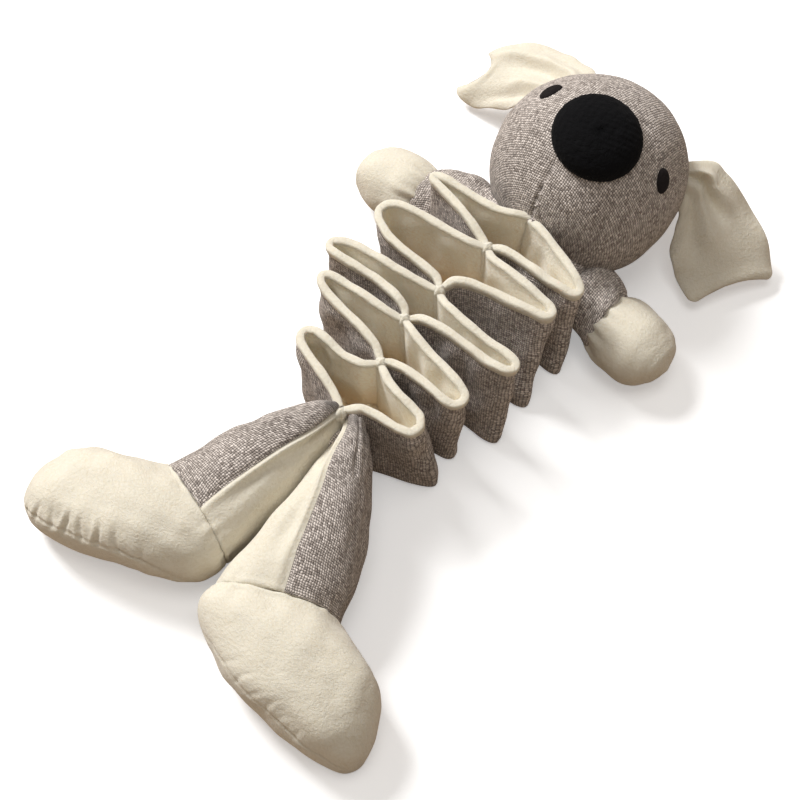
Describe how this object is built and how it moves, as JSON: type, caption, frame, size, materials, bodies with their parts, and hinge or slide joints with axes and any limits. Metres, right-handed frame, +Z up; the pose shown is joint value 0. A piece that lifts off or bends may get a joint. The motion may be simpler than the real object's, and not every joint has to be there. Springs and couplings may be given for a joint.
{
  "type": "plush dog toy",
  "caption": "Stuffed animal dog toy lying on its back, with a folding body of fleece-lined treat pockets between its arms and legs.",
  "frame": {"origin": "centre of the middle pocket's floor, on the surface that the toy lies on", "axes": "+X to the toy's side that is on the right when its head is at the top of a plan view, +Y from the feet to the head, +Z up"},
  "size_m": [0.2419, 0.4343, 0.1229],
  "materials": {
    "grey_heather_weave": "coarse woven grey heather fabric over polyester filling",
    "cream_fleece": "short cream fleece over polyester filling",
    "cream_lining": "short cream fleece lining",
    "black_plush": "short black plush over polyester filling",
    "eye_felt": "black felt"
  },
  "bodies": {
    "chest": {"chest": "grey_heather_weave"},
    "seam_1": {"centre_seam_1": "cream_lining", "pocket_floor_1": "cream_lining"},
    "seam_2": {"centre_seam_2": "cream_lining", "pocket_floor_2": "cream_lining"},
    "seam_3": {"centre_seam_3": "cream_lining", "pocket_floor_3": "cream_lining"},
    "seam_4": {"centre_seam_4": "cream_lining", "pocket_floor_4": "cream_lining"},
    "hips": {"hips": "grey_heather_weave", "pocket_floor_5": "cream_lining"},
    "left_fold_1a": {"wall_left_fold_1a": "grey_heather_weave"},
    "left_fold_1b": {"wall_left_fold_1b": "grey_heather_weave"},
    "right_fold_1a": {"wall_right_fold_1a": "grey_heather_weave"},
    "right_fold_1b": {"wall_right_fold_1b": "grey_heather_weave"},
    "left_fold_2a": {"wall_left_fold_2a": "grey_heather_weave"},
    "left_fold_2b": {"wall_left_fold_2b": "grey_heather_weave"},
    "right_fold_2a": {"wall_right_fold_2a": "grey_heather_weave"},
    "right_fold_2b": {"wall_right_fold_2b": "grey_heather_weave"},
    "left_fold_3a": {"wall_left_fold_3a": "grey_heather_weave"},
    "left_fold_3b": {"wall_left_fold_3b": "grey_heather_weave"},
    "right_fold_3a": {"wall_right_fold_3a": "grey_heather_weave"},
    "right_fold_3b": {"wall_right_fold_3b": "grey_heather_weave"},
    "left_fold_4a": {"wall_left_fold_4a": "grey_heather_weave"},
    "left_fold_4b": {"wall_left_fold_4b": "grey_heather_weave"},
    "right_fold_4a": {"wall_right_fold_4a": "grey_heather_weave"},
    "right_fold_4b": {"wall_right_fold_4b": "grey_heather_weave"},
    "left_fold_5a": {"wall_left_fold_5a": "grey_heather_weave"},
    "left_fold_5b": {"wall_left_fold_5b": "grey_heather_weave"},
    "right_fold_5a": {"wall_right_fold_5a": "grey_heather_weave"},
    "right_fold_5b": {"wall_right_fold_5b": "grey_heather_weave"},
    "neck": {"neck_seam": "grey_heather_weave"},
    "head": {"eye_left": "eye_felt", "eye_right": "eye_felt", "head": "grey_heather_weave", "nose": "black_plush"},
    "ear_left": {"ear_left": "cream_fleece"},
    "ear_right": {"ear_right": "cream_fleece"},
    "arm_left": {"paw_left": "cream_fleece", "sleeve_left": "grey_heather_weave"},
    "arm_right": {"paw_right": "cream_fleece", "sleeve_right": "grey_heather_weave"},
    "leg_left": {"leg_left_inner": "cream_fleece", "leg_left_outer": "grey_heather_weave"},
    "leg_right": {"leg_right_inner": "cream_fleece", "leg_right_outer": "grey_heather_weave"},
    "foot_left": {"foot_left": "cream_fleece", "sole_left": "cream_fleece"},
    "foot_right": {"foot_right": "cream_fleece", "sole_right": "cream_fleece"}
  },
  "joints": [
    {"name": "stretch_1", "type": "slide", "parent": "chest", "child": "seam_1", "axis": [0, -1, 0], "range_m": [-0.00817, 0.02178], "deforming": ["pocket_floor_1"]},
    {"name": "stretch_2", "type": "slide", "parent": "seam_1", "child": "seam_2", "axis": [0, -1, 0], "range_m": [-0.00861, 0.02297], "deforming": ["pocket_floor_2"]},
    {"name": "stretch_3", "type": "slide", "parent": "seam_2", "child": "seam_3", "axis": [0, -1, 0], "range_m": [-0.01038, 0.02768], "deforming": ["pocket_floor_3"]},
    {"name": "stretch_4", "type": "slide", "parent": "seam_3", "child": "seam_4", "axis": [0, -1, 0], "range_m": [-0.00809, 0.02158], "deforming": ["pocket_floor_4"]},
    {"name": "stretch_5", "type": "slide", "parent": "seam_4", "child": "hips", "axis": [0, -1, 0], "range_m": [-0.00574, 0.0153], "deforming": ["pocket_floor_5"]},
    {"name": "left_fold_1a", "type": "hinge", "parent": "chest", "child": "left_fold_1a", "pos_m": [-0.0073, 0.081, 0], "axis": [0, 0, 1], "range_deg": [-6, 16]},
    {"name": "left_fold_1b", "type": "hinge", "parent": "left_fold_1a", "child": "left_fold_1b", "pos_m": [-0.048, 0.066, 0], "axis": [0, 0, 1], "range_deg": [-32, 12]},
    {"name": "right_fold_1a", "type": "hinge", "parent": "chest", "child": "right_fold_1a", "pos_m": [0.0073, 0.081, 0], "axis": [0, 0, 1], "range_deg": [-16, 6]},
    {"name": "right_fold_1b", "type": "hinge", "parent": "right_fold_1a", "child": "right_fold_1b", "pos_m": [0.048, 0.066, 0], "axis": [0, 0, 1], "range_deg": [-12, 32]},
    {"name": "left_fold_2a", "type": "hinge", "parent": "seam_1", "child": "left_fold_2a", "pos_m": [-0.0073, 0.051, 0], "axis": [0, 0, 1], "range_deg": [-6, 16]},
    {"name": "left_fold_2b", "type": "hinge", "parent": "left_fold_2a", "child": "left_fold_2b", "pos_m": [-0.0505, 0.032, 0], "axis": [0, 0, 1], "range_deg": [-32, 12]},
    {"name": "right_fold_2a", "type": "hinge", "parent": "seam_1", "child": "right_fold_2a", "pos_m": [0.0073, 0.051, 0], "axis": [0, 0, 1], "range_deg": [-16, 6]},
    {"name": "right_fold_2b", "type": "hinge", "parent": "right_fold_2a", "child": "right_fold_2b", "pos_m": [0.0505, 0.032, 0], "axis": [0, 0, 1], "range_deg": [-12, 32]},
    {"name": "left_fold_3a", "type": "hinge", "parent": "seam_2", "child": "left_fold_3a", "pos_m": [-0.0073, 0.013, 0], "axis": [0, 0, 1], "range_deg": [-6, 16]},
    {"name": "left_fold_3b", "type": "hinge", "parent": "left_fold_3a", "child": "left_fold_3b", "pos_m": [-0.0585, 0, 0], "axis": [0, 0, 1], "range_deg": [-32, 12]},
    {"name": "right_fold_3a", "type": "hinge", "parent": "seam_2", "child": "right_fold_3a", "pos_m": [0.0073, 0.013, 0], "axis": [0, 0, 1], "range_deg": [-16, 6]},
    {"name": "right_fold_3b", "type": "hinge", "parent": "right_fold_3a", "child": "right_fold_3b", "pos_m": [0.0585, 0, 0], "axis": [0, 0, 1], "range_deg": [-12, 32]},
    {"name": "left_fold_4a", "type": "hinge", "parent": "seam_3", "child": "left_fold_4a", "pos_m": [-0.0073, -0.013, 0], "axis": [0, 0, 1], "range_deg": [-6, 16]},
    {"name": "left_fold_4b", "type": "hinge", "parent": "left_fold_4a", "child": "left_fold_4b", "pos_m": [-0.0475, -0.0265, 0], "axis": [0, 0, 1], "range_deg": [-32, 12]},
    {"name": "right_fold_4a", "type": "hinge", "parent": "seam_3", "child": "right_fold_4a", "pos_m": [0.0073, -0.013, 0], "axis": [0, 0, 1], "range_deg": [-16, 6]},
    {"name": "right_fold_4b", "type": "hinge", "parent": "right_fold_4a", "child": "right_fold_4b", "pos_m": [0.0475, -0.0265, 0], "axis": [0, 0, 1], "range_deg": [-12, 32]},
    {"name": "left_fold_5a", "type": "hinge", "parent": "seam_4", "child": "left_fold_5a", "pos_m": [-0.0073, -0.04, 0], "axis": [0, 0, 1], "range_deg": [-6, 16]},
    {"name": "left_fold_5b", "type": "hinge", "parent": "left_fold_5a", "child": "left_fold_5b", "pos_m": [-0.0365, -0.0575, 0], "axis": [0, 0, 1], "range_deg": [-32, 12]},
    {"name": "right_fold_5a", "type": "hinge", "parent": "seam_4", "child": "right_fold_5a", "pos_m": [0.0073, -0.04, 0], "axis": [0, 0, 1], "range_deg": [-16, 6]},
    {"name": "right_fold_5b", "type": "hinge", "parent": "right_fold_5a", "child": "right_fold_5b", "pos_m": [0.0365, -0.0575, 0], "axis": [0, 0, 1], "range_deg": [-12, 32]},
    {"name": "neck_turn", "type": "hinge", "parent": "chest", "child": "neck", "pos_m": [0.004, 0.1411, 0.0565], "axis": [0, 1, 0], "range_deg": [-15, 15]},
    {"name": "head_nod", "type": "hinge", "parent": "neck", "child": "head", "pos_m": [0.004, 0.1411, 0.0565], "axis": [1, 0, 0], "range_deg": [-8, 25]},
    {"name": "ear_left", "type": "hinge", "parent": "head", "child": "ear_left", "pos_m": [-0.04236, 0.18014, 0.05162], "axis": [0.6441, 0.7649, 0], "range_deg": [-5, 50]},
    {"name": "ear_right", "type": "hinge", "parent": "head", "child": "ear_right", "pos_m": [0.05036, 0.18014, 0.05162], "axis": [0.6441, -0.7649, 0], "range_deg": [-5, 50]},
    {"name": "arm_left", "type": "hinge", "parent": "chest", "child": "arm_left", "pos_m": [-0.047, 0.0915, 0.028], "axis": [0, 1, 0], "range_deg": [-5, 45]},
    {"name": "arm_right", "type": "hinge", "parent": "chest", "child": "arm_right", "pos_m": [0.047, 0.0915, 0.028], "axis": [0, -1, 0], "range_deg": [-5, 45]},
    {"name": "leg_left", "type": "hinge", "parent": "hips", "child": "leg_left", "pos_m": [0, -0.1091, 0.034], "axis": [-1, 0, 0], "range_deg": [-3, 35]},
    {"name": "leg_right", "type": "hinge", "parent": "hips", "child": "leg_right", "pos_m": [0, -0.1091, 0.034], "axis": [-1, 0, 0], "range_deg": [-3, 35]},
    {"name": "foot_left", "type": "hinge", "parent": "leg_left", "child": "foot_left", "pos_m": [0, -0.1621, 0.025], "axis": [-1, 0, 0], "range_deg": [-3, 15]},
    {"name": "foot_right", "type": "hinge", "parent": "leg_right", "child": "foot_right", "pos_m": [0, -0.1621, 0.025], "axis": [-1, 0, 0], "range_deg": [-3, 15]}
  ],
  "couplings": [
    {"joint": "stretch_2", "follows": "stretch_1", "ratio": 1.0546},
    {"joint": "stretch_3", "follows": "stretch_1", "ratio": 1.271},
    {"joint": "stretch_4", "follows": "stretch_1", "ratio": 0.99064},
    {"joint": "stretch_5", "follows": "stretch_1", "ratio": 0.70248},
    {"joint": "left_fold_1a", "follows": "stretch_1", "rad_per_m": 12.821},
    {"joint": "left_fold_1b", "follows": "stretch_1", "rad_per_m": -25.643},
    {"joint": "right_fold_1a", "follows": "stretch_1", "rad_per_m": -12.821},
    {"joint": "right_fold_1b", "follows": "stretch_1", "rad_per_m": 25.643},
    {"joint": "left_fold_2a", "follows": "stretch_1", "rad_per_m": 12.821},
    {"joint": "left_fold_2b", "follows": "stretch_1", "rad_per_m": -25.643},
    {"joint": "right_fold_2a", "follows": "stretch_1", "rad_per_m": -12.821},
    {"joint": "right_fold_2b", "follows": "stretch_1", "rad_per_m": 25.643},
    {"joint": "left_fold_3a", "follows": "stretch_1", "rad_per_m": 12.821},
    {"joint": "left_fold_3b", "follows": "stretch_1", "rad_per_m": -25.643},
    {"joint": "right_fold_3a", "follows": "stretch_1", "rad_per_m": -12.821},
    {"joint": "right_fold_3b", "follows": "stretch_1", "rad_per_m": 25.643},
    {"joint": "left_fold_4a", "follows": "stretch_1", "rad_per_m": 12.821},
    {"joint": "left_fold_4b", "follows": "stretch_1", "rad_per_m": -25.643},
    {"joint": "right_fold_4a", "follows": "stretch_1", "rad_per_m": -12.821},
    {"joint": "right_fold_4b", "follows": "stretch_1", "rad_per_m": 25.643},
    {"joint": "left_fold_5a", "follows": "stretch_1", "rad_per_m": 12.821},
    {"joint": "left_fold_5b", "follows": "stretch_1", "rad_per_m": -25.643},
    {"joint": "right_fold_5a", "follows": "stretch_1", "rad_per_m": -12.821},
    {"joint": "right_fold_5b", "follows": "stretch_1", "rad_per_m": 25.643}
  ]
}
